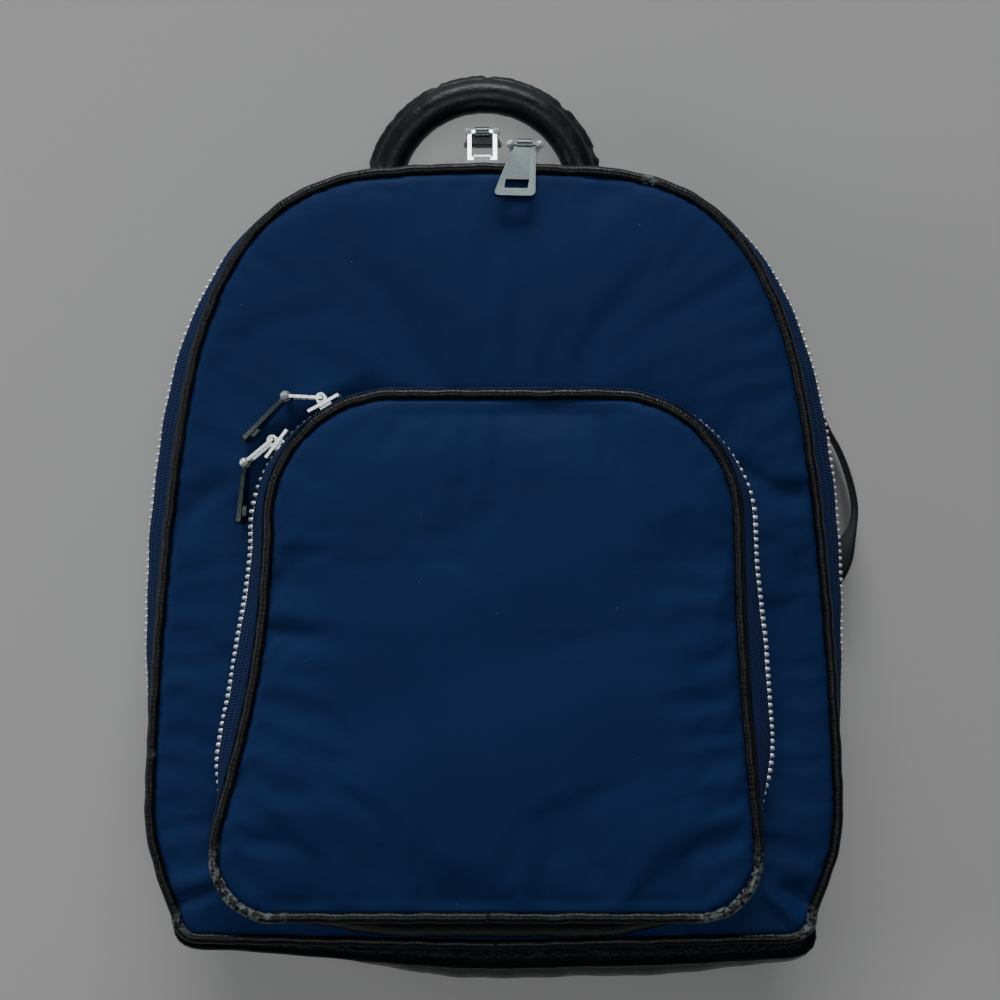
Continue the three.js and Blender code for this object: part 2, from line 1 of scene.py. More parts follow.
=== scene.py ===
"""A small navy nylon backpack lying on its back: the looks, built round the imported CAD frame.

Lengths are millimetres in the bag's own frame until at() turns them into metres in the row frame.
The bag's frame has its middle between the seams, +Y towards the handle, +Z out of the front.
"""

import json
import math

import bpy
import bmesh
import numpy as np
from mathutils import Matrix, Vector
from mathutils.geometry import delaunay_2d_cdt

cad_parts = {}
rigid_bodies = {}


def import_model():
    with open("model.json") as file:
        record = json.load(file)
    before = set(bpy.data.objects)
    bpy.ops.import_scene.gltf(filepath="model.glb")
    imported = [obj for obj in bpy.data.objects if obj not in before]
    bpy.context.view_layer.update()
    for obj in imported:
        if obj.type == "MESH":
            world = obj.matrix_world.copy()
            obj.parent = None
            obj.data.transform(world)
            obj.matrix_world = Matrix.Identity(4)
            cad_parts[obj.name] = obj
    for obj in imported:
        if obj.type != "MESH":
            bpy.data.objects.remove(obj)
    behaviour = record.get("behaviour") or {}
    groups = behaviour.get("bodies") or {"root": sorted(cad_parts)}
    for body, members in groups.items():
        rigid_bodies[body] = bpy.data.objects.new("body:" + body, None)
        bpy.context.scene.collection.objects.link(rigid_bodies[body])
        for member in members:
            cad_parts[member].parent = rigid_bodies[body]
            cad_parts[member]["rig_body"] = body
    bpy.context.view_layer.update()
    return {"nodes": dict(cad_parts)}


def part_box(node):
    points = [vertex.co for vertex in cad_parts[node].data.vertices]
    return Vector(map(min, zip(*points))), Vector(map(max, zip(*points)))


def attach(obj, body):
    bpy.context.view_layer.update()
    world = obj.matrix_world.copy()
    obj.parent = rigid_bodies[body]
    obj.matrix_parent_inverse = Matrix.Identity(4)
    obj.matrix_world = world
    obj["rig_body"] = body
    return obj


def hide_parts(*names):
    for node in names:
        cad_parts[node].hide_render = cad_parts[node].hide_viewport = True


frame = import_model()

MM = 0.001
seam_low, seam_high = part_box("front_piping")
ORIGIN = np.array([(seam_low.x + seam_high.x) / 2, (seam_low.y + seam_high.y) / 2, 0.0])


def at(points):
    """Millimetres in the bag's frame to metres in the row frame."""
    return np.asarray(points, float) * MM + ORIGIN


# ---------- Camera and stage, first ----------

FRONT_Z = 73.0  # height of the front panel
CAMERA_HEIGHT = 625.0
VIEW_WIDTH = 377.4  # what the picture takes in at the front panel
VIEW_MIDDLE = (2.3, 20.7)

scene = bpy.context.scene


def make_camera():
    data = bpy.data.cameras.new("camera")
    data.sensor_width = 36.0
    data.lens = 36.0 * (CAMERA_HEIGHT - FRONT_Z) / VIEW_WIDTH
    camera = bpy.data.objects.new("camera", data)
    camera.location = at((*VIEW_MIDDLE, CAMERA_HEIGHT))
    scene.collection.objects.link(camera)
    scene.camera = camera


def area_light(name, location, target, size, power, colour=(1, 1, 1)):
    data = bpy.data.lights.new(name, "AREA")
    data.shape = "RECTANGLE"
    data.size, data.size_y = size
    data.energy = power
    data.color = colour
    light = bpy.data.objects.new(name, data)
    light.location = location
    light.rotation_euler = (Vector(target) - Vector(location)).to_track_quat("-Z", "Y").to_euler()
    scene.collection.objects.link(light)


def make_stage():
    bpy.ops.mesh.primitive_plane_add(size=6, location=(0, 0, 0))
    floor = bpy.context.object
    floor.name = "floor"
    material = bpy.data.materials.new("pale_floor")
    material.use_nodes = True
    shader = material.node_tree.nodes["Principled BSDF"]
    shader.inputs["Base Color"].default_value = (0.62, 0.6, 0.57, 1)
    shader.inputs["Roughness"].default_value = 0.75
    shader.inputs["Specular IOR Level"].default_value = 0.2
    floor.data.materials.append(material)
    world = bpy.data.worlds.new("studio")
    world.use_nodes = True
    world.node_tree.nodes["Background"].inputs["Color"].default_value = (0.8, 0.9, 1, 1)
    world.node_tree.nodes["Background"].inputs["Strength"].default_value = 0.08
    scene.world = world
    area_light("key", (-0.15, 4.2, 1.9), (0, 0, 0), (2.6, 1.3), 122, (0.93, 0.97, 1))
    area_light("left_fill", (-1.3, 0.1, 0.6), (0, 0, 0), (0.8, 0.5), 3.4, (0.93, 0.97, 1))
    area_light("high_fill", (0.05, 0.0, 1.6), (0.05, 0.0, 0), (0.8, 0.6), 4.0, (0.95, 0.98, 1))


make_camera()
make_stage()

# ---------- Sizes of the bag ----------
# They are the CAD's, except that the zips flare further at the sides, the base seam sags, and the
# pocket's lower edge lies 3.4 mm higher.

TOP_Y, BOTTOM_Y = 146.0, -146.0
SHOULDER = (111.3, 81.0)
WIDEST = (130.0, -94.0)
CORNER = (120.0, -136.0)
CORNER_RADIUS = 10.0
TOP_ARC_RADIUS, TOP_ARC_HALF = 510.0, 42.0
PIPING = 2.0
ZIP_END_Y = -78.0
ZIP_Z = 60.0
TOP_BULGE, SIDE_BULGE = 2.0, 8.6
BASE_BULGE = 14.0  # how much further the base bellies out where its leather is slack
BASE_SAG = 1.3  # the base seam droops in the middle and lifts at the corners
FRONT_PIPING_Z, BACK_PIPING_Z = 72.0, 10.5

POCKET_TOP_SHIFT, POCKET_BOTTOM_SHIFT = 3.5, -2.8
POCKET_CORNER = (39.7, 13.0)
POCKET_CORNER_RADIUS = 46.5
POCKET_BOTTOM_X, POCKET_BOTTOM_Y, POCKET_BOTTOM_RADIUS = 78.0, -132.6, 22.0
POCKET_Z, POCKET_ZIP_Z = 88.0, 81.0
POCKET_ZIP_SIDE = 6.5
POCKET_ZIP_DROP = 4.7
POCKET_ZIP_END_Y = -100.0

TOOTH_PITCH = 2.7

# ---------- Outlines ----------


def smoothstep(low, high, x):
    t = np.clip((x - low) / (high - low), 0, 1)
    return t * t * (3 - 2 * t)


def bezier(a, b, c, d):
    t = np.linspace(0, 1, 60)[:, None]
    a, b, c, d = (np.array(p, float) for p in (a, b, c, d))
    return (1 - t) ** 3 * a + 3 * (1 - t) ** 2 * t * b + 3 * (1 - t) * t**2 * c + t**3 * d


def arc(centre, radius, start, stop):
    angle = np.radians(np.linspace(start, stop, 50))
    return np.column_stack([centre[0] + radius * np.cos(angle), centre[1] + radius * np.sin(angle)])


def mirrored(points):
    return points[::-1] * np.array([-1, 1])


def bag_outline():
    """Half the front seam from the middle of the base by the left side, then its mirror image."""
    drop = TOP_ARC_RADIUS - math.sqrt(TOP_ARC_RADIUS**2 - TOP_ARC_HALF**2)
    angle = math.degrees(math.asin(TOP_ARC_HALF / TOP_ARC_RADIUS))
    inner = -CORNER[0] + CORNER_RADIUS
    left = [
        np.array([[0, BOTTOM_Y], [inner, BOTTOM_Y]]),
        bezier((inner, BOTTOM_Y), (inner - 6.7, BOTTOM_Y), (-CORNER[0], BOTTOM_Y + 3.3),
               (-CORNER[0], CORNER[1])),
        bezier((-CORNER[0], CORNER[1]), (-125, -122), (-130.5, -110), (-WIDEST[0], WIDEST[1])),
        bezier((-WIDEST[0], WIDEST[1]), (-128, -34), (-121, 48), (-SHOULDER[0], SHOULDER[1])),
        bezier((-SHOULDER[0], SHOULDER[1]), (-99.5, 118), (-82, 141), (-TOP_ARC_HALF, TOP_Y - drop)),
        arc((0, TOP_Y - TOP_ARC_RADIUS), TOP_ARC_RADIUS, 90 + angle, 90),
    ]
    left = np.vstack(left)
    whole = np.vstack([left, mirrored(left)])
    low = whole[:, 1] < CORNER[1]
    sag = BASE_SAG * (1 - 2 * smoothstep(20, CORNER[0], np.abs(whole[:, 0])))
    whole[:, 1] -= np.where(low, sag, 0) * smoothstep(CORNER[1], BOTTOM_Y, whole[:, 1])
    return whole


def pocket_outline():
    side = POCKET_CORNER[0] + POCKET_CORNER_RADIUS
    foot = POCKET_BOTTOM_X + POCKET_BOTTOM_RADIUS
    foot_y = POCKET_BOTTOM_Y + POCKET_BOTTOM_RADIUS
    low, high = POCKET_BOTTOM_SHIFT, POCKET_TOP_SHIFT
    return np.vstack([
        [[low, POCKET_BOTTOM_Y]],
        arc((low - POCKET_BOTTOM_X, foot_y), POCKET_BOTTOM_RADIUS, -90, -180),
        bezier((low - foot, foot_y), (low - foot, -92), (high - side - 1, -60),
               (high - side, POCKET_CORNER[1])),
        arc((high - POCKET_CORNER[0], POCKET_CORNER[1]), POCKET_CORNER_RADIUS, 180, 90),
        arc((high + POCKET_CORNER[0], POCKET_CORNER[1]), POCKET_CORNER_RADIUS, 90, 0),
        bezier((high + side, POCKET_CORNER[1]), (high + side + 1, -60), (low + foot, -92),
               (low + foot, foot_y)),
        arc((low + POCKET_BOTTOM_X, foot_y), POCKET_BOTTOM_RADIUS, 0, -90),
    ])


class Run:
    """Evenly spaced points along a flat line, each with its outward normal and distance along."""

    def __init__(self, line, step, closed):
        line = np.vstack([line, line[:1]]) if closed else line
        lengths = np.linalg.norm(np.diff(line, axis=0), axis=1)
        line = line[np.concatenate([[True], lengths > 1e-6])]
        lengths = np.linalg.norm(np.diff(line, axis=0), axis=1)
        far = np.concatenate([[0], np.cumsum(lengths)])
        count = max(3, int(round(far[-1] / step)))
        self.along = np.linspace(0, far[-1], count + 1)
        if closed:
            self.along = self.along[:-1]
        self.points = np.column_stack([np.interp(self.along, far, line[:, k]) for k in (0, 1)])
        if closed:
            ahead, behind = np.roll(self.points, -1, 0), np.roll(self.points, 1, 0)
        else:
            ahead = np.vstack([self.points[1:], self.points[-1:]])
            behind = np.vstack([self.points[:1], self.points[:-1]])
        tangent = ahead - behind
        tangent /= np.linalg.norm(tangent, axis=1)[:, None]
        self.tangent = tangent
        self.normal = np.column_stack([-tangent[:, 1], tangent[:, 0]])
        self.length = far[-1]
        self.closed = closed


def upper_part(outline, height, step):
    dense = Run(outline, 0.5, True).points
    return Run(dense[dense[:, 1] > height], step, False)


def lower_part(outline, height, step):
    dense = Run(outline, 0.5, True).points
    half = len(dense) // 2
    dense = np.vstack([dense[half:], dense[:half]])
    return Run(dense[dense[:, 1] < height], step, False)


BAG = bag_outline()
POCKET = pocket_outline()


def zip_out(y):
    """How far the main zip stands out of the seam."""
    arc_end = TOP_Y - TOP_ARC_HALF**2 / (2 * TOP_ARC_RADIUS)
    down = np.clip((arc_end - y) / (arc_end - ZIP_END_Y), 0, 1)
    return TOP_BULGE + (SIDE_BULGE - TOP_BULGE) * np.sin(math.pi * down)


def pocket_zip_out(run):
    """The pocket zip hides under the seam at the top, and flares out towards the base."""
    up = np.maximum(0, run.normal[:, 1])
    arc_radius = POCKET_CORNER_RADIUS + POCKET_ZIP_SIDE
    reach = np.sqrt(arc_radius**2 - POCKET_ZIP_DROP**2 * (1 - up**2))
    out = reach - POCKET_ZIP_DROP * up - POCKET_CORNER_RADIUS
    y = run.points[:, 1]
    flare = 2.6 * smoothstep(5, -40, y) * (1 - smoothstep(-62, POCKET_ZIP_END_Y, y))
    ends = 3.8 * smoothstep(-72, POCKET_ZIP_END_Y, y)
    tuck = 0.2 * smoothstep(0.93, 1, up)
    return out + flare - ends - tuck


def waver(s, period, seed):
    """A smooth uneven wave along s, between about -1 and 1."""
    s = np.asarray(s, float)
    total = np.zeros_like(s)
    for k, share in enumerate((0.45, 0.3, 0.25, 0.2)):
        wave = period * (0.55 + 0.41 * k)
        total = total + share * np.sin(2 * math.pi * s / wave + seed * (1.3 + 0.9 * k) + 2.1 * k)
    return total


# ---------- Meshes ----------


def new_object(name, vertices, faces, material, attributes=None):
    mesh = bpy.data.meshes.new(name)
    mesh.from_pydata([tuple(v) for v in at(vertices)], [], faces)
    for key, values in (attributes or {}).items():
        layer = mesh.attributes.new(key, "FLOAT", "POINT")
        layer.data.foreach_set("value", np.asarray(values, np.float32).ravel())
    mesh.materials.append(material)
    mesh.polygons.foreach_set("use_smooth", [True] * len(mesh.polygons))
    mesh.update()
    obj = bpy.data.objects.new(name, mesh)
    scene.collection.objects.link(obj)
    return obj


def outward(obj):
    """Turns the faces out."""
    work = bmesh.new()
    work.from_mesh(obj.data)
    bmesh.ops.recalc_face_normals(work, faces=work.faces)
    work.to_mesh(obj.data)
    work.free()
    return obj


def grid_faces(rows, columns, closed_rows, closed_columns):
    faces = []
    for i in range(rows if closed_rows else rows - 1):
        j = (i + 1) % rows
        for k in range(columns if closed_columns else columns - 1):
            m = (k + 1) % columns
            faces.append((i * columns + k, i * columns + m, j * columns + m, j * columns + k))
    return faces


def loft(name, rings, material, closed=False, attributes=None):
    """A closed skin through rings, an array of rows by points by three."""
    rows, columns = rings.shape[:2]
    faces = grid_faces(rows, columns, closed, True)
    if not closed:
        faces.append(tuple(range(columns)))
        faces.append(tuple((rows - 1) * columns + k for k in range(columns)))
    return outward(new_object(name, rings.reshape(-1, 3), faces, material, attributes))


def shell_wall(name, run, profile, thick, material):
    """A wall along a run. profile(run) gives outs and heights, each rows by points."""
    outs, heights = profile(run)
    slope_out, slope_z = np.gradient(outs, axis=1), np.gradient(heights, axis=1)
    size = np.hypot(slope_out, slope_z)
    side_out, side_z = -slope_z / size, slope_out / size
    half = thick / 2
    outs = np.hstack([outs + half * side_out, (outs - half * side_out)[:, ::-1]])
    heights = np.hstack([heights + half * side_z, (heights - half * side_z)[:, ::-1]])
    flat = run.points[:, None, :] + run.normal[:, None, :] * outs[..., None]
    rings = np.dstack([flat, heights])
    columns = outs.shape[1]
    across = np.concatenate([np.linspace(0, 1, columns // 2), np.linspace(1, 0, columns // 2)])
    attributes = {
        "along": np.repeat(run.along, columns),
        "across": np.tile(across, len(run.along)),
    }
    return loft(name, rings, material, run.closed, attributes)


def tube(name, run, out, z, radius, material, wear):
    """A round cord along a run. out, z and radius may change along it."""
    sides = 14
    angle = np.linspace(0, 2 * math.pi, sides, endpoint=False)
    radius = np.broadcast_to(radius, len(run.along))[:, None]
    outs = np.broadcast_to(out, len(run.along))[:, None] + radius * np.cos(angle)
    heights = np.broadcast_to(z, len(run.along))[:, None] + radius * np.sin(angle)
    flat = run.points[:, None, :] + run.normal[:, None, :] * outs[..., None]
    attributes = {
        "along": np.repeat(run.along, sides),
        "across": np.tile(angle, len(run.along)),
        "wear": np.repeat(wear, sides),
    }
    return loft(name, np.dstack([flat, heights]), material, run.closed, attributes)


# ---------- Materials ----------


class Paint:
    """A short way to wire a procedural material."""

    def __init__(self, name):
        self.material = bpy.data.materials.new(name)
        self.material.use_nodes = True
        self.nodes = self.material.node_tree.nodes
        self.links = self.material.node_tree.links
        self.shader = self.nodes["Principled BSDF"]

    def node(self, kind, inputs=None, **settings):
        node = self.nodes.new(kind)
        for key, value in settings.items():
            setattr(node, key, value)
        for key, value in (inputs or {}).items():
            self.feed(node.inputs[key], value)
        return node

    def feed(self, socket, value):
        if isinstance(value, bpy.types.NodeSocket):
            self.links.new(value, socket)
        else:
            socket.default_value = value

    def place(self, scale=(1, 1, 1), turn=(0, 0, 0)):
        source = self.node("ShaderNodeTexCoord").outputs["Object"]
        inputs = {"Vector": source, "Scale": scale, "Rotation": turn}
        return self.node("ShaderNodeMapping", inputs).outputs[0]

    def attribute(self, name):
        return self.node("ShaderNodeAttribute", attribute_name=name).outputs["Fac"]

    def math(self, operation, a, b=0.0, c=None):
        inputs = {0: a, 1: b} if c is None else {0: a, 1: b, 2: c}
        return self.node("ShaderNodeMath", inputs, operation=operation).outputs[0]

    def noise(self, scale, detail=3.0, vector=None, roughness=0.5):
        inputs = {"Scale": scale, "Detail": detail, "Roughness": roughness}
        inputs["Vector"] = vector if vector is not None else self.place()
        return self.node("ShaderNodeTexNoise", inputs).outputs["Fac"]

    def cells(self, scale):
        return self.node("ShaderNodeTexVoronoi", {"Scale": scale, "Vector": self.place()})

    def wave(self, value, period):
        """A sine wave of a value, from 0 to 1."""
        sine = self.math("SINE", self.math("MULTIPLY", value, 2 * math.pi / period))
        return self.math("MULTIPLY_ADD", sine, 0.5, 0.5)

    def ramp(self, factor, stops):
        node = self.node("ShaderNodeValToRGB", {"Fac": factor})
        ramp = node.color_ramp
        while len(ramp.elements) < len(stops):
            ramp.elements.new(0.5)
        for element, (position, colour) in zip(ramp.elements, stops):
            element.position = position
            value = colour if isinstance(colour, tuple) else (colour, colour, colour)
            element.color = (*value, 1)
        return node.outputs["Color"]

    def mix(self, factor, a, b):
        node = self.node("ShaderNodeMix", data_type="RGBA")
        self.feed(node.inputs[0], factor)
        self.feed(node.inputs[6], a if isinstance(a, bpy.types.NodeSocket) else (*a, 1))
        self.feed(node.inputs[7], b if isinstance(b, bpy.types.NodeSocket) else (*b, 1))
        return node.outputs[2]

    def bump(self, height, distance, strength=1.0, below=None):
        inputs = {"Height": height, "Distance": distance, "Strength": strength}
        if below is not None:
            inputs["Normal"] = below
        return self.node("ShaderNodeBump", inputs).outputs[0]

    def finish(self, **inputs):
        for key, value in inputs.items():
            socket = self.shader.inputs[key.replace("_", " ")]
            if isinstance(value, tuple) and len(value) == 3 and socket.type == "RGBA":
                value = (*value, 1)
            self.feed(socket, value)
        return self.material


def stripes(paint, vector, period, axis="X"):
    """A sine wave across an axis of a vector in metres, from 0 to 1."""
    part = paint.node("ShaderNodeSeparateXYZ", {"Vector": vector}).outputs[axis]
    return paint.wave(part, period)


def nylon_material():
    paint = Paint("navy_nylon")
    lean_over = math.radians(35)  # so that upright walls show the weave too
    twill = stripes(paint, paint.place(turn=(0, lean_over, math.radians(36))), 0.0007)
    weft = stripes(paint, paint.place(turn=(0, lean_over, math.radians(-54))), 0.00046)
    weave = paint.math("MULTIPLY_ADD", weft, 0.45, paint.math("MULTIPLY", twill, 0.55))
    blotch = paint.noise(22, 4)
    deep = paint.mix(blotch, (0.0082, 0.0202, 0.077), (0.0106, 0.0256, 0.099))
    lit = paint.mix(blotch, (0.0135, 0.0335, 0.12), (0.017, 0.0405, 0.147))
    cloth = paint.mix(weave, deep, lit)
    specks = paint.cells(260)
    lot = paint.math("FRACT", paint.math("MULTIPLY", specks.outputs["Color"], 7.0))
    chosen = paint.math("GREATER_THAN", lot, 0.985)
    small = paint.math("LESS_THAN", specks.outputs["Distance"], 0.07)
    lint = paint.math("MULTIPLY", chosen, small)
    colour = paint.mix(lint, cloth, (0.09, 0.14, 0.2))
    creases = paint.noise(75, 5, roughness=0.6)
    soft = paint.bump(creases, 0.0006, 0.5)
    normal = paint.bump(weave, 0.00009, 0.75, soft)
    rough = paint.ramp(paint.noise(140, 3), [(0.3, 0.5), (0.7, 0.6)])
    return paint.finish(
        Base_Color=colour, Roughness=rough, Normal=normal, Sheen_Weight=0.05,
        Sheen_Roughness=0.4, Sheen_Tint=(0.2, 0.42, 0.85), Specular_IOR_Level=0.22,
        Specular_Tint=(0.35, 0.6, 1.0),
    )


def leather_material(
    name, dark=(0.0012, 0.002, 0.0024), light=(0.0036, 0.0054, 0.0062), shine=0.34,
    wrinkled=False, gloss=0.4,
):
    """Glossy grained leather. Wrinkled leather, as on a cord, also creases across its length."""
    paint = Paint(name)
    grain = paint.cells(820).outputs["Distance"]
    fine = paint.noise(1900, 4)
    colour = paint.mix(paint.noise(60, 4), dark, light)
    flakes = paint.ramp(paint.noise(420, 6, roughness=0.7), [(0.48, 0.0), (0.56, 1.0)])
    scuff = paint.math("MULTIPLY", paint.attribute("wear"), flakes)
    colour = paint.mix(scuff, colour, (0.2, 0.22, 0.225))
    if wrinkled:
        across = paint.math("MULTIPLY", paint.attribute("across"), 0.14)
        inputs = {"X": paint.attribute("along"), "Y": across}
        course = paint.node("ShaderNodeCombineXYZ", inputs).outputs[0]
        low = paint.bump(paint.noise(0.95, 4, course, 0.6), 0.0006, 0.8)
    else:
        low = paint.bump(paint.noise(310, 5, roughness=0.65), 0.0001, 0.8)
    middle = paint.bump(grain, 0.00012, 0.55, low)
    normal = paint.bump(fine, 0.00005, 0.6, middle)
    rough = paint.ramp(paint.noise(200, 4), [(0.3, shine - 0.07), (0.75, shine + 0.12)])
    rough = paint.mix(scuff, rough, (0.75, 0.75, 0.75))
    return paint.finish(
        Base_Color=colour, Roughness=rough, Normal=normal, Specular_IOR_Level=gloss,
        Coat_Weight=0.1 * gloss, Coat_Roughness=0.25,
    )


def tape_material():
    """Herringbone tape: the slant turns over every few ribs."""
    paint = Paint("zip_tape")
    along = paint.attribute("along")
    across = paint.math("MULTIPLY", paint.attribute("across"), 9.0)
    rib = paint.math("PINGPONG", across, 1.1)
    weave = paint.wave(paint.math("ADD", along, rib), 1.15)
    cord = paint.wave(across, 1.1)
    both = paint.math("MULTIPLY_ADD", cord, 0.35, paint.math("MULTIPLY", weave, 0.65))
    sharp = paint.ramp(both, [(0.3, 0.0), (0.62, 1.0)])
    colour = paint.mix(sharp, (0.002, 0.006, 0.025), (0.016, 0.04, 0.135))
    normal = paint.bump(both, 0.0002, 0.9)
    return paint.finish(Base_Color=colour, Roughness=0.85, Normal=normal, Specular_IOR_Level=0.25)


def metal_material(name, base, rough, brushed=False, metallic=1.0):
    paint = Paint(name)
    streaks = paint.noise(700, 3, paint.place((1, 14, 1) if brushed else (1, 1, 1)))
    colour = paint.mix(paint.noise(300, 3), tuple(c * 0.86 for c in base), base)
    roughness = paint.ramp(streaks, [(0.3, rough * 0.75), (0.75, rough * 1.35)])
    normal = paint.bump(streaks, 0.00002, 0.35)
    return paint.finish(Base_Color=colour, Metallic=metallic, Roughness=roughness, Normal=normal)


def webbing_material():
    paint = Paint("ribbed_webbing")
    ribs = paint.wave(paint.attribute("across"), 2.2)
    picks = paint.wave(paint.attribute("along"), 1.0)
    weave = paint.math("MULTIPLY_ADD", picks, 0.5, paint.math("MULTIPLY", ribs, 0.5))
    colour = paint.mix(weave, (0.004, 0.006, 0.01), (0.016, 0.022, 0.034))
    normal = paint.bump(weave, 0.00035, 0.8)
    return paint.finish(Base_Color=colour, Roughness=0.72, Normal=normal, Sheen_Weight=0.2)


def lining_material(name, low, high):
    paint = Paint(name)
    warp = stripes(paint, paint.place(), 0.0009)
    weft = stripes(paint, paint.place(), 0.0009, "Y")
    weave = paint.math("MULTIPLY", warp, weft)
    colour = paint.mix(weave, low, high)
    return paint.finish(Base_Color=colour, Roughness=0.8, Normal=paint.bump(weave, 0.0001, 0.6))


NYLON = nylon_material()
LEATHER = leather_material("black_leather", shine=0.25, gloss=0.16)
CORD_LEATHER = leather_material("piping_leather", wrinkled=True)
HANDLE_LEATHER = leather_material("handle_leather", (0.0016, 0.0032, 0.0042), (0.005, 0.0085, 0.0105), 0.38)
TAPE = tape_material()
TEETH = metal_material("tooth_metal", (0.98, 1.0, 1.0), 0.2, metallic=0.35)
NICKEL = metal_material("satin_nickel", (0.14, 0.165, 0.165), 0.32, brushed=True)
POLISHED = metal_material("polished_nickel", (0.97, 1.0, 1.0), 0.16, metallic=0.45)
WEBBING = webbing_material()
LINING = lining_material("grey_lining", (0.03, 0.033, 0.04), (0.075, 0.08, 0.095))
BOARD = lining_material("fibreboard", (0.02, 0.02, 0.02), (0.05, 0.05, 0.048))


def finish_piece(obj, body, slot, *replaced):
    """Rides a finished piece on its body and hides the CAD parts that it replaces."""
    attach(obj, body)
    if replaced:
        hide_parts(*replaced)
    return obj


# ---------- Sewn panels: cloth held round its edge, swollen and relaxed by simulation ----------


def inside(points, polygon):
    """Which points lie within a polygon."""
    x, y = points[:, 0], points[:, 1]
    result = np.zeros(len(points), bool)
    previous = polygon[-1]
    for corner in polygon:
        crosses = (corner[1] > y) != (previous[1] > y)
        rise = previous[1] - corner[1]
        if abs(rise) > 1e-12:
            edge = (previous[0] - corner[0]) * (y - corner[1]) / rise + corner[0]
            result ^= crosses & (x < edge)
        previous = corner
    return result


def flat_cloth(outer, inner, spacing):
    """Triangles over the space inside one outline and outside another, and which points are held."""
    rows = np.arange(outer[:, 1].min(), outer[:, 1].max(), spacing * math.sqrt(3) / 2)
    grid = []
    for i, y in enumerate(rows):
        xs = np.arange(outer[:, 0].min(), outer[:, 0].max(), spacing) + (i % 2) * spacing / 2
        grid.append(np.column_stack([xs, np.full(len(xs), y)]))
    grid = np.vstack(grid)
    loops = [outer] if inner is None else [outer, inner]
    keep = inside(grid, outer)
    if inner is not None:
        keep &= ~inside(grid, inner)
    grid = grid[keep]
    for loop in loops:
        near, _ = distance_to(grid, loop)
        grid = grid[near > spacing * 0.6]
    edges, start = [], 0
    for loop in loops:
        count = len(loop)
        edges += [(start + k, start + (k + 1) % count) for k in range(count)]
        start += count
    points = np.vstack([*loops, grid])
    result = delaunay_2d_cdt([Vector(p) for p in points], edges, [], 0, 1e-6)
    flat = np.array([tuple(p) for p in result[0]])
    middles = np.array([flat[list(f)].mean(axis=0) for f in result[2]])
    good = inside(middles, outer)
    if inner is not None:
        good &= ~inside(middles, inner)
    faces = [f for f, ok in zip(result[2], good) if ok]
    return flat, faces, start


def swell(obj, held, pressure, growth, frames, cap):
    """Runs Blender's cloth on a piece held at some points, then limits how far any point moved."""
    rest = np.array([v.co for v in obj.data.vertices])
    group = obj.vertex_groups.new(name="held")
    group.add([int(i) for i in held], 1.0, "REPLACE")
    modifier = obj.modifiers.new("cloth", "CLOTH")
    settings = modifier.settings
    settings.quality = 6
    settings.mass = 0.15
    settings.tension_stiffness = 25
    settings.compression_stiffness = 25
    settings.shear_stiffness = 12
    settings.bending_stiffness = 0.6
    settings.tension_damping = 8
    settings.compression_damping = 8
    settings.shear_damping = 8
    settings.bending_damping = 1
    settings.air_damping = 4
    settings.vertex_group_mass = "held"
    settings.use_pressure = True
    settings.uniform_pressure_force = pressure
    settings.shrink_min = -growth
    settings.effector_weights.gravity = 0
    modifier.collision_settings.use_collision = False
    modifier.collision_settings.use_self_collision = False
    modifier.point_cache.frame_start = 1
    modifier.point_cache.frame_end = frames
    for number in range(1, frames + 1):
        scene.frame_set(number)
    evaluated = obj.evaluated_get(bpy.context.evaluated_depsgraph_get())
    moved = np.array([v.co for v in evaluated.data.vertices])
    obj.modifiers.clear()
    scene.frame_set(1)
    shift = moved - rest
    size = np.linalg.norm(shift, axis=1)
    shift *= np.minimum(1, cap * MM / np.maximum(size, 1e-9))[:, None]
    obj.data.vertices.foreach_set("co", (rest + shift).ravel())
    obj.data.update()


def thicken(obj, thick):
    """Gives a sheet its thickness, downwards, and closes its edge."""
    modifier = obj.modifiers.new("thick", "SOLIDIFY")
    modifier.thickness = thick * MM
    modifier.offset = -1
    apply_modifiers(obj)


def apply_modifiers(obj):
    evaluated = obj.evaluated_get(bpy.context.evaluated_depsgraph_get())
    mesh = bpy.data.meshes.new_from_object(evaluated)
    obj.modifiers.clear()
    obj.data = mesh


def distance_to(points, line):
    """The distance of each flat point from a line of points, and the nearest one's number."""
    gaps = np.hypot(points[:, None, 0] - line[None, :, 0], points[:, None, 1] - line[None, :, 1])
    return gaps.min(axis=1), gaps.argmin(axis=1)


def panel_heights(flat, loops, base, puff, reach, seed):
    """A stuffed panel: it leaves each seam steeply, levels off, and is puckered near the stitches."""
    height = np.full(len(flat), 1.0)
    pucker = np.zeros(len(flat))
    for number, loop in enumerate(loops):
        gap, nearest = distance_to(flat, loop.points)
        height = np.minimum(height, 1 - np.exp(-gap / reach))
        far = loop.along[nearest]
        sideways = np.abs(loop.normal[nearest, 0]) ** 2
        strong = (0.08 + 0.92 * sideways) * (0.7 + 0.45 * waver(far, 70, seed + 4))
        short = waver(far, 9, seed + number) * smoothstep(0.5, 3, gap) * np.exp(-gap / 6)
        long = waver(far, 23, seed + 3 + number) * smoothstep(1, 8, gap) * np.exp(-gap / 16)
        pucker += strong * (0.75 * short + 1.5 * long)
    broad = waver(flat[:, 1] - 0.35 * flat[:, 0], 110, seed)
    broad = broad + 0.6 * waver(flat[:, 0] + 0.4 * flat[:, 1], 140, seed + 2)
    return base + puff * height * (1 + 0.3 * broad) + pucker


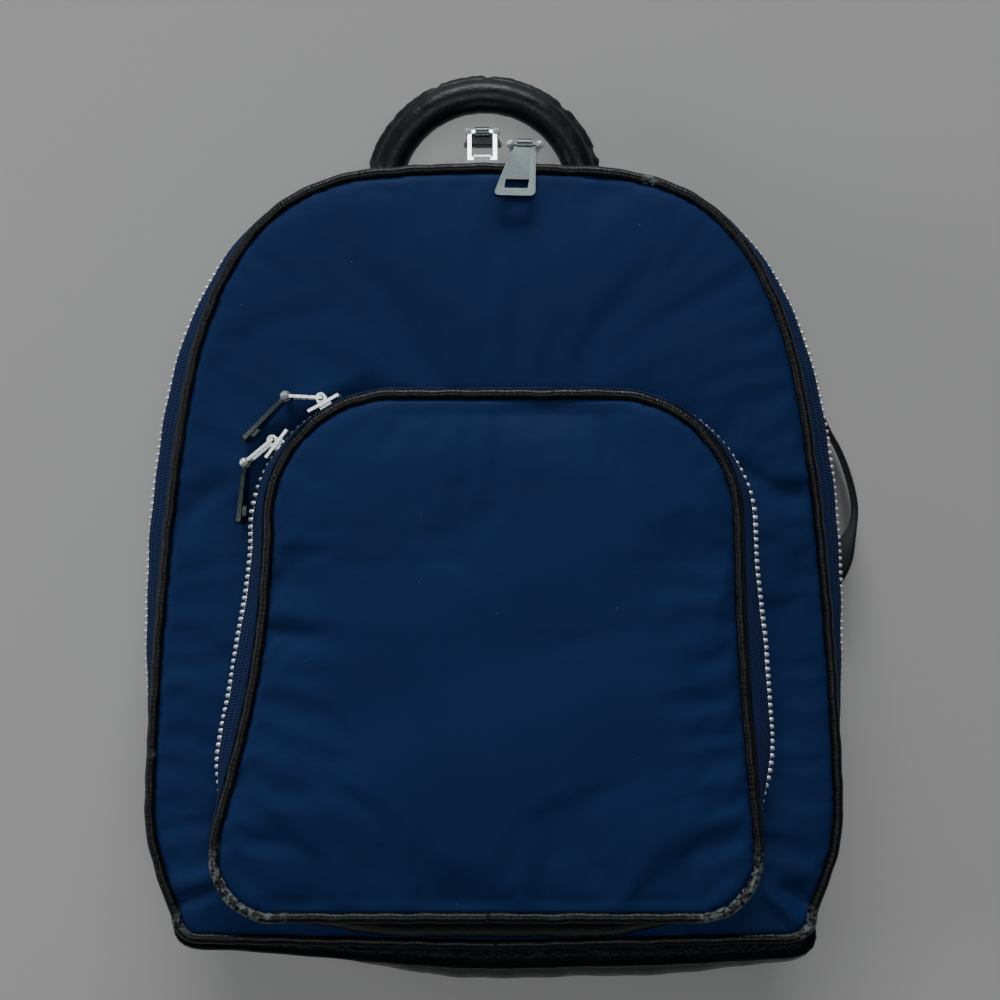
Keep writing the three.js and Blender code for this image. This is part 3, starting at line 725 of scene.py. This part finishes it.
def crease(flat, start, stop, depth, width):
    """One soft fold from start to stop: a dip, or a ridge where its depth is below 0."""
    start, stop = np.array(start, float), np.array(stop, float)
    line = stop - start
    t = ((flat - start) @ line) / (line @ line)
    side = np.abs((flat - start) @ np.array([-line[1], line[0]])) / np.linalg.norm(line)
    ends = smoothstep(-0.15, 0.25, t) * (1 - smoothstep(0.7, 1.15, t))
    return -depth * ends * np.exp(-((side / width) ** 2))


# Each fold of a panel: where it starts and stops, its depth and its width.
FRONT_FOLDS = [
    ((-121, 11), (-98, 30), 2.2, 5),
    ((-114, 45), (-97, 44), 1.4, 4),
    ((-122, -132), (-103, -126), 2.0, 2.4),
    ((-121, -126), (-100, -119), -1.5, 3),
    ((-92, 28), (-34, 66), 3.2, 11),
    ((86, 32), (120, 20), 2.0, 5),
    ((110, -8), (122, -10), 1.0, 3),
    ((107, -15), (112, -78), 1.6, 6),
    ((102, -126), (121, -144), -2.2, 2.2),
    ((108, -124), (124, -136), 2.2, 2.8),
]
POCKET_FOLDS = [
    ((-88, -8), (-62, -12), 1.3, 4),
    ((-88, -26), (-58, -31), 1.5, 4),
    ((-97, -82), (-66, -88), 1.6, 4),
    ((-101, -108), (-68, -101), 1.5, 4),
    ((92, -88), (74, -86), 1.2, 3),
    ((94, -104), (66, -108), 1.4, 4),
    ((88, -20), (68, -22), 1.0, 4),
]
UPPER_PULLER = (-62, 46)  # the cloth is kept low round here, under the upper pocket puller


def make_front_panel():
    outer = Run(BAG, 2.6, True)
    edge = outer.points - outer.normal * 1.2
    seam = Run(POCKET, 2.6, True)
    inner = seam.points - seam.normal * 3
    flat, faces, held = flat_cloth(edge, inner, 2.6)
    hole = Run(inner, 2.6, True)
    heights = panel_heights(flat, [outer, hole], FRONT_Z - 0.4, 2.4, 9, 3)
    for fold in FRONT_FOLDS:
        heights += crease(flat, *fold)
    gap = np.hypot(flat[:, 0] - UPPER_PULLER[0], flat[:, 1] - UPPER_PULLER[1])
    under_puller = 1 - smoothstep(45, 70, gap)
    heights -= under_puller * np.clip(heights - FRONT_Z - 0.3, 0, None)
    heights[:held] = FRONT_Z - 0.6
    panel = new_object("front_panel_cloth", np.column_stack([flat, heights]), faces, NYLON)
    face_up(panel)
    swell(panel, range(held), 1.2, 0.004, 16, 2.2)
    thicken(panel, 0.9)
    finish_piece(panel, "front", "nylon", "front_panel")


def face_up(obj):
    work = bmesh.new()
    work.from_mesh(obj.data)
    bmesh.ops.recalc_face_normals(work, faces=work.faces)
    work.normal_update()
    if sum(face.normal.z for face in work.faces) < 0:
        bmesh.ops.reverse_faces(work, faces=work.faces)
    work.to_mesh(obj.data)
    work.free()


def make_pocket_panel():
    seam = Run(POCKET, 2.6, True)
    edge = seam.points - seam.normal * 1.2
    flat, faces, held = flat_cloth(edge, None, 2.6)
    heights = panel_heights(flat, [seam], POCKET_Z + 0.6, 3.0, 14, 7)
    for fold in POCKET_FOLDS:
        heights += crease(flat, *fold)
    heights[:held] = POCKET_Z + 0.4
    panel = new_object("pocket_panel_cloth", np.column_stack([flat, heights]), faces, NYLON)
    face_up(panel)
    swell(panel, range(held), 1.2, 0.01, 16, 2.2)
    thicken(panel, 0.9)
    finish_piece(panel, "pocket_front", "nylon", "pocket_panel")


make_front_panel()
make_pocket_panel()

# ---------- Piping ----------


def make_piping(name, outline, z, body, node, wear_at, seed):
    run = Run(outline, 1.3, True)
    wear = np.zeros(len(run.along))
    for x, y, reach, strength in wear_at:
        gap = np.hypot(run.points[:, 0] - x, run.points[:, 1] - y)
        wear = np.maximum(wear, strength * (1 - smoothstep(reach * 0.4, reach, gap)))
    radius = PIPING * (1.08 + 0.03 * waver(run.along, 16, seed))
    out = 0.25 * waver(run.along, 24, seed + 2)
    height = z + 0.2 * waver(run.along, 31, seed + 5)
    piece = tube(name, run, out, height, radius, CORD_LEATHER, wear)
    return finish_piece(piece, body, "leather", node)


make_piping("front_piping_cord", BAG, FRONT_PIPING_Z, "front", "front_piping",
            [(59, 141, 4, 0.9), (-131, -75, 2.4, 1.0), (-121, -141, 8, 0.5), (121, -141, 10, 0.8)], 1)
make_piping("back_piping_cord", BAG, BACK_PIPING_Z, "shell", "back_piping",
            [(-121, -141, 12, 0.7), (121, -141, 12, 0.7)], 4)
make_piping("pocket_piping_cord", POCKET, POCKET_Z, "pocket_front", "pocket_piping",
            [(-97, -122, 20, 1.0), (93, -124, 20, 1.0), (-84, -134, 10, 0.7), (80, -136, 12, 0.7)], 8)

# ---------- Zips ----------

TOOTH_LENGTH = 1.5  # along the zip
TOOTH_DEEP = 2.6  # through the tape
TOOTH_REACH = 2.5  # across the zip
TOOTH_OVERLAP = 0.55  # the heads of the two rows pass each other
FRONT_PROUD, REAR_PROUD = 0.75, -0.25  # how far a tooth's middle stands outside the tape's


def tooth_outline():
    """One tooth seen along the zip's normal: a rounded block with a narrower head."""
    return np.array([
        (-0.5, 0.0), (-0.5, 0.55), (-0.34, 0.7), (-0.34, 0.9), (-0.2, 1.0),
        (0.2, 1.0), (0.34, 0.9), (0.34, 0.7), (0.5, 0.55), (0.5, 0.0),
    ])


def make_teeth(name, run, outs, z, towards, offset, proud, body, node):
    """A row of separate teeth. towards is +1 when their heads point up, -1 when down."""
    shape = tooth_outline() * (TOOTH_LENGTH, TOOTH_REACH)
    count = int((run.length - TOOTH_PITCH) / TOOTH_PITCH)
    vertices, faces = [], []
    depths = (-0.5, -0.42, -0.25, 0.25, 0.42, 0.5)
    shrink = (0.5, 0.85, 1.0, 1.0, 0.85, 0.5)
    size = len(shape)
    for number in range(count):
        far = (number + 0.6 + offset) * TOOTH_PITCH
        x, y = (np.interp(far, run.along, run.points[:, k]) for k in (0, 1))
        nx, ny = (np.interp(far, run.along, run.normal[:, k]) for k in (0, 1))
        tx, ty = ny, -nx
        out = float(np.interp(far, run.along, outs))
        out += proud * smoothstep(3.5, 6.0, out) - 0.5 * (1 - smoothstep(2.5, 4.5, out))
        base = len(vertices)
        for depth, scale in zip(depths, shrink):
            for along, reach in shape:
                o = out + depth * TOOTH_DEEP
                a = along * scale
                height = z + towards * reach * (0.85 + 0.15 * scale)
                vertices.append((x + nx * o + tx * a, y + ny * o + ty * a, height))
        for layer in range(len(depths) - 1):
            for k in range(size):
                m = (k + 1) % size
                a, b = base + layer * size + k, base + layer * size + m
                faces.append((a, b, b + size, a + size))
        faces.append(tuple(base + k for k in range(size)))
        faces.append(tuple(base + (len(depths) - 1) * size + k for k in range(size)))
    piece = outward(new_object(name, vertices, faces, TEETH))
    return finish_piece(piece, body, "zip_metal", node)


def make_main_zip():
    run = upper_part(BAG, ZIP_END_Y, 1.6)
    outs = zip_out(run.points[:, 1])
    high, low = ZIP_Z + TOOTH_REACH - TOOTH_OVERLAP, ZIP_Z - TOOTH_REACH + TOOTH_OVERLAP
    make_teeth("main_teeth_front", run, outs, high, -1, 0.0, FRONT_PROUD, "front", "main_zip_teeth_front")
    make_teeth("main_teeth_rear", run, outs, low, 1, 0.5, REAR_PROUD, "shell", "main_zip_teeth_rear")
    rows = len(run.along)
    out = outs[:, None]
    ripple = 0.35 * waver(run.along, 40, 2)[:, None]

    def front(run):
        t = np.linspace(0, 1, 9)
        curve = smoothstep(0.35, 1, t)
        outs = out * (1 - curve) + 0.9 * curve + ripple * np.sin(math.pi * t)
        top = FRONT_PIPING_Z - PIPING + 0.5
        heights = np.broadcast_to(ZIP_Z + 1.2 + t * (top - ZIP_Z - 1.2), (rows, 9))
        return outs, heights

    def rear(run):
        t = np.linspace(0, 1, 9)
        outs = out * (1 - 0.1 * t) + ripple * np.sin(math.pi * t)
        heights = np.broadcast_to(ZIP_Z - 1.2 - t * (ZIP_Z - 1.2 - 47.6), (rows, 9))
        return outs, heights

    tape = shell_wall("main_tape_front", run, front, 0.8, TAPE)
    finish_piece(tape, "front", "zip_tape", "main_zip_tape_front")
    tape = shell_wall("main_tape_rear", run, rear, 0.8, TAPE)
    finish_piece(tape, "shell", "zip_tape", "main_zip_tape_rear")


def make_pocket_zip():
    run = upper_part(POCKET, POCKET_ZIP_END_Y, 1.6)
    outs = pocket_zip_out(run)
    high, low = POCKET_ZIP_Z + TOOTH_REACH - TOOTH_OVERLAP, POCKET_ZIP_Z - TOOTH_REACH + TOOTH_OVERLAP
    make_teeth("pocket_teeth_front", run, outs, high, -1, 0.0, FRONT_PROUD,
               "pocket_front", "pocket_zip_teeth_front")
    make_teeth("pocket_teeth_rear", run, outs, low, 1, 0.5, REAR_PROUD, "front", "pocket_zip_teeth_rear")
    rows = len(run.along)
    out = outs[:, None]

    def front(run):
        t = np.linspace(0, 1, 10)
        upright = 0.15 + 0.35 * smoothstep(0, 0.3, run.normal[:, 1])[:, None]
        outs = out - (out - 2.3) * smoothstep(upright, 1, t)
        outs = outs + 0.3 * waver(run.along, 33, 5)[:, None] * np.sin(math.pi * t)
        heights = POCKET_ZIP_Z + 1.2 + (POCKET_Z - POCKET_ZIP_Z - 1.6) * np.sin(t * math.pi / 2)
        return outs, np.broadcast_to(heights, (rows, 10))

    def rear(run):
        t = np.linspace(0, 1, 7)
        outs = out - 1.2 * t
        heights = POCKET_ZIP_Z - 1.2 - t * (POCKET_ZIP_Z - 1.2 - FRONT_Z)
        return outs, np.broadcast_to(heights, (rows, 7))

    tape = shell_wall("pocket_tape_front", run, front, 0.7, TAPE)
    finish_piece(tape, "pocket_front", "zip_tape", "pocket_zip_tape_front")
    tape = shell_wall("pocket_tape_rear", run, rear, 0.7, TAPE)
    finish_piece(tape, "front", "zip_tape", "pocket_zip_tape_rear")


make_main_zip()
make_pocket_zip()

# ---------- Side walls ----------


def make_rear_gusset():
    run = upper_part(BAG, ZIP_END_Y, 1.8)
    out = zip_out(run.points[:, 1])[:, None]

    def profile(run):
        t = np.linspace(0, 1, 20)
        sag = 1.6 * waver(run.along, 70, 3)[:, None] * np.sin(math.pi * t)
        fold = 0.5 * waver(run.along, 17, 6)[:, None] * np.exp(-((t - 0.1) / 0.12) ** 2)
        fold = fold + 0.5 * waver(run.along, 14, 9)[:, None] * np.exp(-((t - 0.92) / 0.1) ** 2)
        outs = (0.9 * out) * (1 - t) + 0.2 * t + 2.0 * np.sin(math.pi * t) + sag + fold
        heights = np.broadcast_to(48.4 - t * (48.4 - BACK_PIPING_Z - 1.4), outs.shape)
        return outs, heights

    finish_piece(shell_wall("rear_gusset_cloth", run, profile, 1.6, NYLON), "shell", "nylon", "rear_gusset")


def base_profile(run):
    """The leather base bellies out, more along the bottom than up the sides."""
    down = smoothstep(0.3, 1, np.maximum(0, -run.normal[:, 1]))
    x = run.points[:, 0]
    slack = smoothstep(-110, -5, x) * (1 - 0.35 * smoothstep(60, 125, x))
    belly = 3 + down * (2.8 + BASE_BULGE * slack) + 0.4 * waver(run.along, 34, 8)
    t = np.linspace(0, 1, 44)
    low, high = BACK_PIPING_Z + 1.4, FRONT_PIPING_Z - 1.0
    outs = 0.3 + belly[:, None] * np.sin(math.pi * t) ** np.where(t > 0.5, 1.25, 0.9)
    roll = 1.3 * np.exp(-((t - 0.87) / 0.045) ** 2) - 0.8 * np.exp(-((t - 0.95) / 0.03) ** 2)
    outs = outs + 1.7 * roll * (0.3 + 0.7 * down[:, None])
    heights = low + (high - low) * (0.5 - 0.5 * np.cos(math.pi * t))
    crest = 1.5 * np.exp(-((t - 0.86) / 0.032) ** 2) - 0.9 * np.exp(-((t - 0.945) / 0.025) ** 2)
    return outs, heights + crest * (0.2 + 0.8 * down[:, None])


def make_base_gusset():
    run = lower_part(BAG, ZIP_END_Y - 0.3, 1.8)
    wall = shell_wall("base_gusset_leather", run, base_profile, 1.8, LEATHER)
    finish_piece(wall, "shell", "leather", "base_gusset")


def make_pocket_base():
    run = lower_part(POCKET, POCKET_ZIP_END_Y - 0.3, 1.6)
    down = np.maximum(0, -run.normal[:, 1])
    x = run.points[:, 0]
    taper = smoothstep(-92, -30, x) * (1 - smoothstep(40, 82, x))
    spread = 2.0 + 8.4 * smoothstep(0.5, 1, down) * taper

    def profile(run):
        t = np.linspace(0, 1, 12)
        slope = (spread[:, None] - 1) * np.sin(math.pi / 2 * t)
        outs = 1 + slope + 0.3 * waver(run.along, 20, 3)[:, None] * t
        heights = np.broadcast_to(POCKET_Z - 1.6 - t**1.4 * (POCKET_Z - 1.6 - FRONT_Z + 0.2), outs.shape)
        return outs, heights

    wall = shell_wall("pocket_base_leather", run, profile, 1.4, LEATHER)
    finish_piece(wall, "front", "leather", "pocket_base_gusset")


make_rear_gusset()
make_base_gusset()
make_pocket_base()

# ---------- Back panel ----------

QUILT_PITCH = 36.0


def make_back_panel():
    outer = Run(BAG, 3.2, True)
    edge = outer.points - outer.normal * 1.4
    flat, faces, _ = flat_cloth(edge, None, 3.4)
    gap, _ = distance_to(flat, outer.points)
    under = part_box("back_panel")[0].z / MM
    one_way = np.cos(2 * math.pi * (flat[:, 0] + flat[:, 1]) / QUILT_PITCH)
    other_way = np.cos(2 * math.pi * (flat[:, 0] - flat[:, 1]) / QUILT_PITCH)
    quilt = 0.5 * one_way * other_way
    heights = under + 2.6 * np.exp(-gap / 7) + 0.5 + quilt * smoothstep(4, 14, gap)
    panel = new_object("back_panel_cloth", np.column_stack([flat, heights]), faces, NYLON)
    face_up(panel)
    modifier = panel.modifiers.new("thick", "SOLIDIFY")
    modifier.thickness = 3.4 * MM
    modifier.offset = 1
    apply_modifiers(panel)
    finish_piece(panel, "shell", "nylon", "back_panel")


make_back_panel()

# ---------- Handle ----------

HANDLE_RADIUS, HANDLE_TUBE = 40.4, 7.2
HANDLE_SHIFT, HANDLE_Z = -4.0, 30.0
HANDLE_CENTRE_Y = TOP_Y - 1.6
HANDLE_LENGTH = 130  # roughly, along the middle of the grip


def make_handle():
    """A rolled leather grip: a round tube with a raw seam along its outer edge."""
    low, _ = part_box("handle")
    root_y = (low.y - ORIGIN[1]) / MM + HANDLE_TUBE
    root = math.degrees(math.asin((root_y - HANDLE_CENTRE_Y) / HANDLE_RADIUS))
    angles = np.radians(np.linspace(180 - root + 9.5, root - 9.5, 150))
    rows, sides = len(angles), 48
    t = np.linspace(0, 1, rows)
    along = t * HANDLE_LENGTH
    taper = np.clip(np.minimum(t, 1 - t) / 0.055, 0, 1)
    narrow = 0.62 + 0.38 * np.sin(taper * math.pi / 2)
    size = (HANDLE_TUBE - 0.5) * narrow * (1 + 0.012 * waver(along, 16, 3))
    turn = np.linspace(0, 2 * math.pi, sides, endpoint=False)
    seam = np.minimum(turn, 2 * math.pi - turn)
    flange = 1.7 * np.exp(-((seam / 0.24) ** 4)) - 0.5 * np.exp(-(((seam - 0.5) / 0.16) ** 2))
    ragged = 1 + 0.1 * waver(along, 7, 8) - 0.45 * smoothstep(0.5, 0.8, waver(along, 19, 4))
    inner = 0.06 * waver(along, 6, 5)[:, None] * np.exp(-((turn - math.pi) / 0.9) ** 2)
    radius = size[:, None] + flange * ragged[:, None] * taper[:, None] + inner
    across = radius * np.cos(turn)
    rise = radius * np.sin(turn)
    reach = HANDLE_RADIUS + across
    rings = np.dstack([
        HANDLE_SHIFT + reach * np.cos(angles)[:, None],
        HANDLE_CENTRE_Y + reach * np.sin(angles)[:, None],
        HANDLE_Z + rise,
    ])
    wear = 0.35 * np.clip(flange / 1.7, 0, 1) * np.clip(0.5 + 0.7 * waver(along, 22, 2), 0, 1)[:, None]
    attributes = {"along": np.repeat(along, sides), "across": np.tile(turn, rows), "wear": wear}
    grip = loft("handle_grip", rings, HANDLE_LEATHER, attributes=attributes)
    finish_piece(grip, "handle", "leather", "handle")


make_handle()

# ---------- Straps ----------


def smooth_route(points, count):
    """A Catmull-Rom curve through points, evenly spaced."""
    points = np.array(points, float)
    padded = np.vstack([2 * points[0] - points[1], points, 2 * points[-1] - points[-2]])
    fine = []
    for k in range(1, len(padded) - 2):
        a, b, c, d = padded[k - 1 : k + 3]
        t = np.linspace(0, 1, 30, endpoint=False)[:, None]
        square = (2 * a - 5 * b + 4 * c - d) * t**2
        cube = (3 * b - a - 3 * c + d) * t**3
        fine.append(0.5 * (2 * b + (c - a) * t + square + cube))
    fine = np.vstack([*fine, points[-1:]])
    run = Run(fine, 1.0, False)
    spots = np.linspace(0, run.length, count)
    return np.column_stack([np.interp(spots, run.along, run.points[:, k]) for k in (0, 1)]), run.length


def ribbon(name, points, width, thick, low, tilt, material, count=160, sides=20):
    """A flat strap with rounded edges along a route in plan. tilt turns it on edge."""
    line, length = smooth_route(points, count)
    run = Run(line, length / (count - 1), False)
    t = np.linspace(0, 1, len(run.along))
    angle = tilt(t)
    wide = width(t)
    turn = np.linspace(0, 2 * math.pi, sides, endpoint=False)
    square = 0.35
    x = np.sign(np.cos(turn)) * np.abs(np.cos(turn)) ** square
    y = np.sign(np.sin(turn)) * np.abs(np.sin(turn)) ** 0.8
    tangent = run.tangent
    side = np.column_stack([tangent[:, 1], -tangent[:, 0]])
    across = np.column_stack([side * np.cos(angle)[:, None], np.sin(angle)])
    normal = np.column_stack([-side * np.sin(angle)[:, None], np.cos(angle)])
    rise = low + wide / 2 * np.abs(np.sin(angle)) + thick / 2 * np.abs(np.cos(angle))
    middle = np.column_stack([run.points, rise])
    rings = (
        middle[:, None, :]
        + across[:, None, :] * (x * wide[:, None] / 2)[..., None]
        + normal[:, None, :] * np.broadcast_to(y * thick / 2, (len(t), sides))[..., None]
    )
    attributes = {
        "along": np.repeat(run.along, sides),
        "across": (x * wide[:, None] / 2),
        "wear": np.zeros(len(t) * sides),
    }
    return loft(name, rings, material, attributes=attributes), length


STRAP_X, STRAP_END_Y = 40.0, -54.0
ANCHOR_Y = -124.0
WEBBING_WIDTH = 20.0
RIGHT_TILT = -1.7  # radians: where it bows out, the right webbing stands on its edge


def strap_routes(side):
    """The padded strap and its webbing in plan. Only the right webbing bows out far."""
    pad = [(26, 108.3), (31, 60), (37, 0), (STRAP_X, STRAP_END_Y)]
    end = STRAP_END_Y
    bow = 1 if side > 0 else 0.64
    web = [(STRAP_X, end - drop) for drop in (2, 16, 32, 44)]
    web += [(46, -112), (60, -119), (74, -113), (82, -98), (84, -60)]
    arch = [(85, 0), (92, 46), (98, 59), (112, 66), (128, 61), (143, 44), (151, 18), (146, 0), (132, -18)]
    web += [(84 + (x - 84) * bow, -20 + (y + 20) * bow) for x, y in arch]
    web += [(116, -46), (108, -76), (105, -100), (104, ANCHOR_Y + 8)]
    return [[(side * x, y) for x, y in route] for route in (pad, web)]


def make_straps():
    for side, name in ((-1, "left"), (1, "right")):
        pad_route, web_route = strap_routes(side)
        pad, _ = ribbon(f"shoulder_strap_{name}_pad", pad_route, lambda t: 43 - 14 * smoothstep(0.55, 1, t),
                        4.5, 1.5, lambda t: 0 * t, NYLON, sides=32)
        finish_piece(pad, "shell", "nylon", f"shoulder_strap_{name}")
        lift = RIGHT_TILT if side > 0 else 0

        def tilt(t):
            return lift * smoothstep(0.555, 0.645, t) * (1 - smoothstep(0.715, 0.805, t))

        web, length = ribbon(f"webbing_{name}_strap", web_route, lambda t: WEBBING_WIDTH - 0.4 + 0 * t,
                             1.5, 1.7, tilt, WEBBING, count=220)
        finish_piece(web, "shell", "webbing", f"webbing_{name}")


make_straps()

# ---------- Hard pieces and small leather: the CAD's shapes with their edges rounded ----------


def rounded_copy(node, name, material, radius, slot="nickel", shape=None):
    """A CAD piece, bent by shape, with its flat faces joined up and its edges rounded."""
    source = frame["nodes"][node]
    obj = bpy.data.objects.new(name, source.data.copy())
    scene.collection.objects.link(obj)
    if shape is not None:
        places = np.array([v.co for v in obj.data.vertices])
        moved = at(shape((places - ORIGIN) / MM))
        obj.data.vertices.foreach_set("co", moved.ravel())
    work = bmesh.new()
    work.from_mesh(obj.data)
    bmesh.ops.remove_doubles(work, verts=work.verts, dist=1e-6)
    bmesh.ops.dissolve_limit(work, angle_limit=math.radians(2), verts=work.verts, edges=work.edges)
    work.to_mesh(obj.data)
    work.free()
    obj.data.materials.clear()
    obj.data.materials.append(material)
    if "wear" not in obj.data.attributes:
        obj.data.attributes.new("wear", "FLOAT", "POINT")
    bevel = obj.modifiers.new("round", "BEVEL")
    bevel.width = radius * MM
    bevel.segments = 3
    bevel.limit_method = "ANGLE"
    bevel.angle_limit = math.radians(40)
    bevel.harden_normals = False
    apply_modifiers(obj)
    obj.data.polygons.foreach_set("use_smooth", [True] * len(obj.data.polygons))
    smooth = obj.modifiers.new("normals", "WEIGHTED_NORMAL")
    smooth.keep_sharp = False
    apply_modifiers(obj)
    return finish_piece(obj, source["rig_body"], slot, node)


RIGHT_PIN = (11.66, 155.06)  # where the right main tab hangs


def lean(points):
    """The right tab lies a little skew and is bent across its neck."""
    down = np.clip(RIGHT_PIN[1] - points[:, 1], 0, None)
    points = points.copy()
    points[:, 0] -= 0.17 * down
    points[:, 2] += 0.5 * np.sin(math.pi * np.clip(down / 7, 0, 1)) - 0.03 * down
    return points


def shrink_board(points):
    """The board's corners stay clear of the slack leather."""
    middle = points.mean(axis=0)
    return middle + (points - middle) * (0.86, 1, 0.7)


def make_hardware():
    shapes = {"main_right_tab": lean}
    for puller in ("main_left", "main_right", "pocket_upper", "pocket_lower"):
        parts = (("slider", POLISHED, 0.35), ("bail", POLISHED, 0.25), ("tab", NICKEL, 0.3))
        for part, material, radius in parts:
            node = f"{puller}_{part}"
            rounded_copy(node, f"{node}_metal", material, radius, shape=shapes.get(node))
    for side in ("left", "right"):
        rounded_copy(f"strap_adjuster_{side}", f"strap_adjuster_{side}_metal", NICKEL, 0.4)
        rounded_copy(f"lower_anchor_{side}", f"lower_anchor_{side}_leather", LEATHER, 1.0, slot="leather")
    rounded_copy("strap_yoke", "strap_yoke_leather", LEATHER, 1.0, slot="leather")
    rounded_copy("base_board", "base_board_sheet", BOARD, 0.4, slot="board", shape=shrink_board)
    rounded_copy("inner_slip_pocket", "inner_slip_pocket_cloth", LINING, 0.3, slot="lining")


make_hardware()
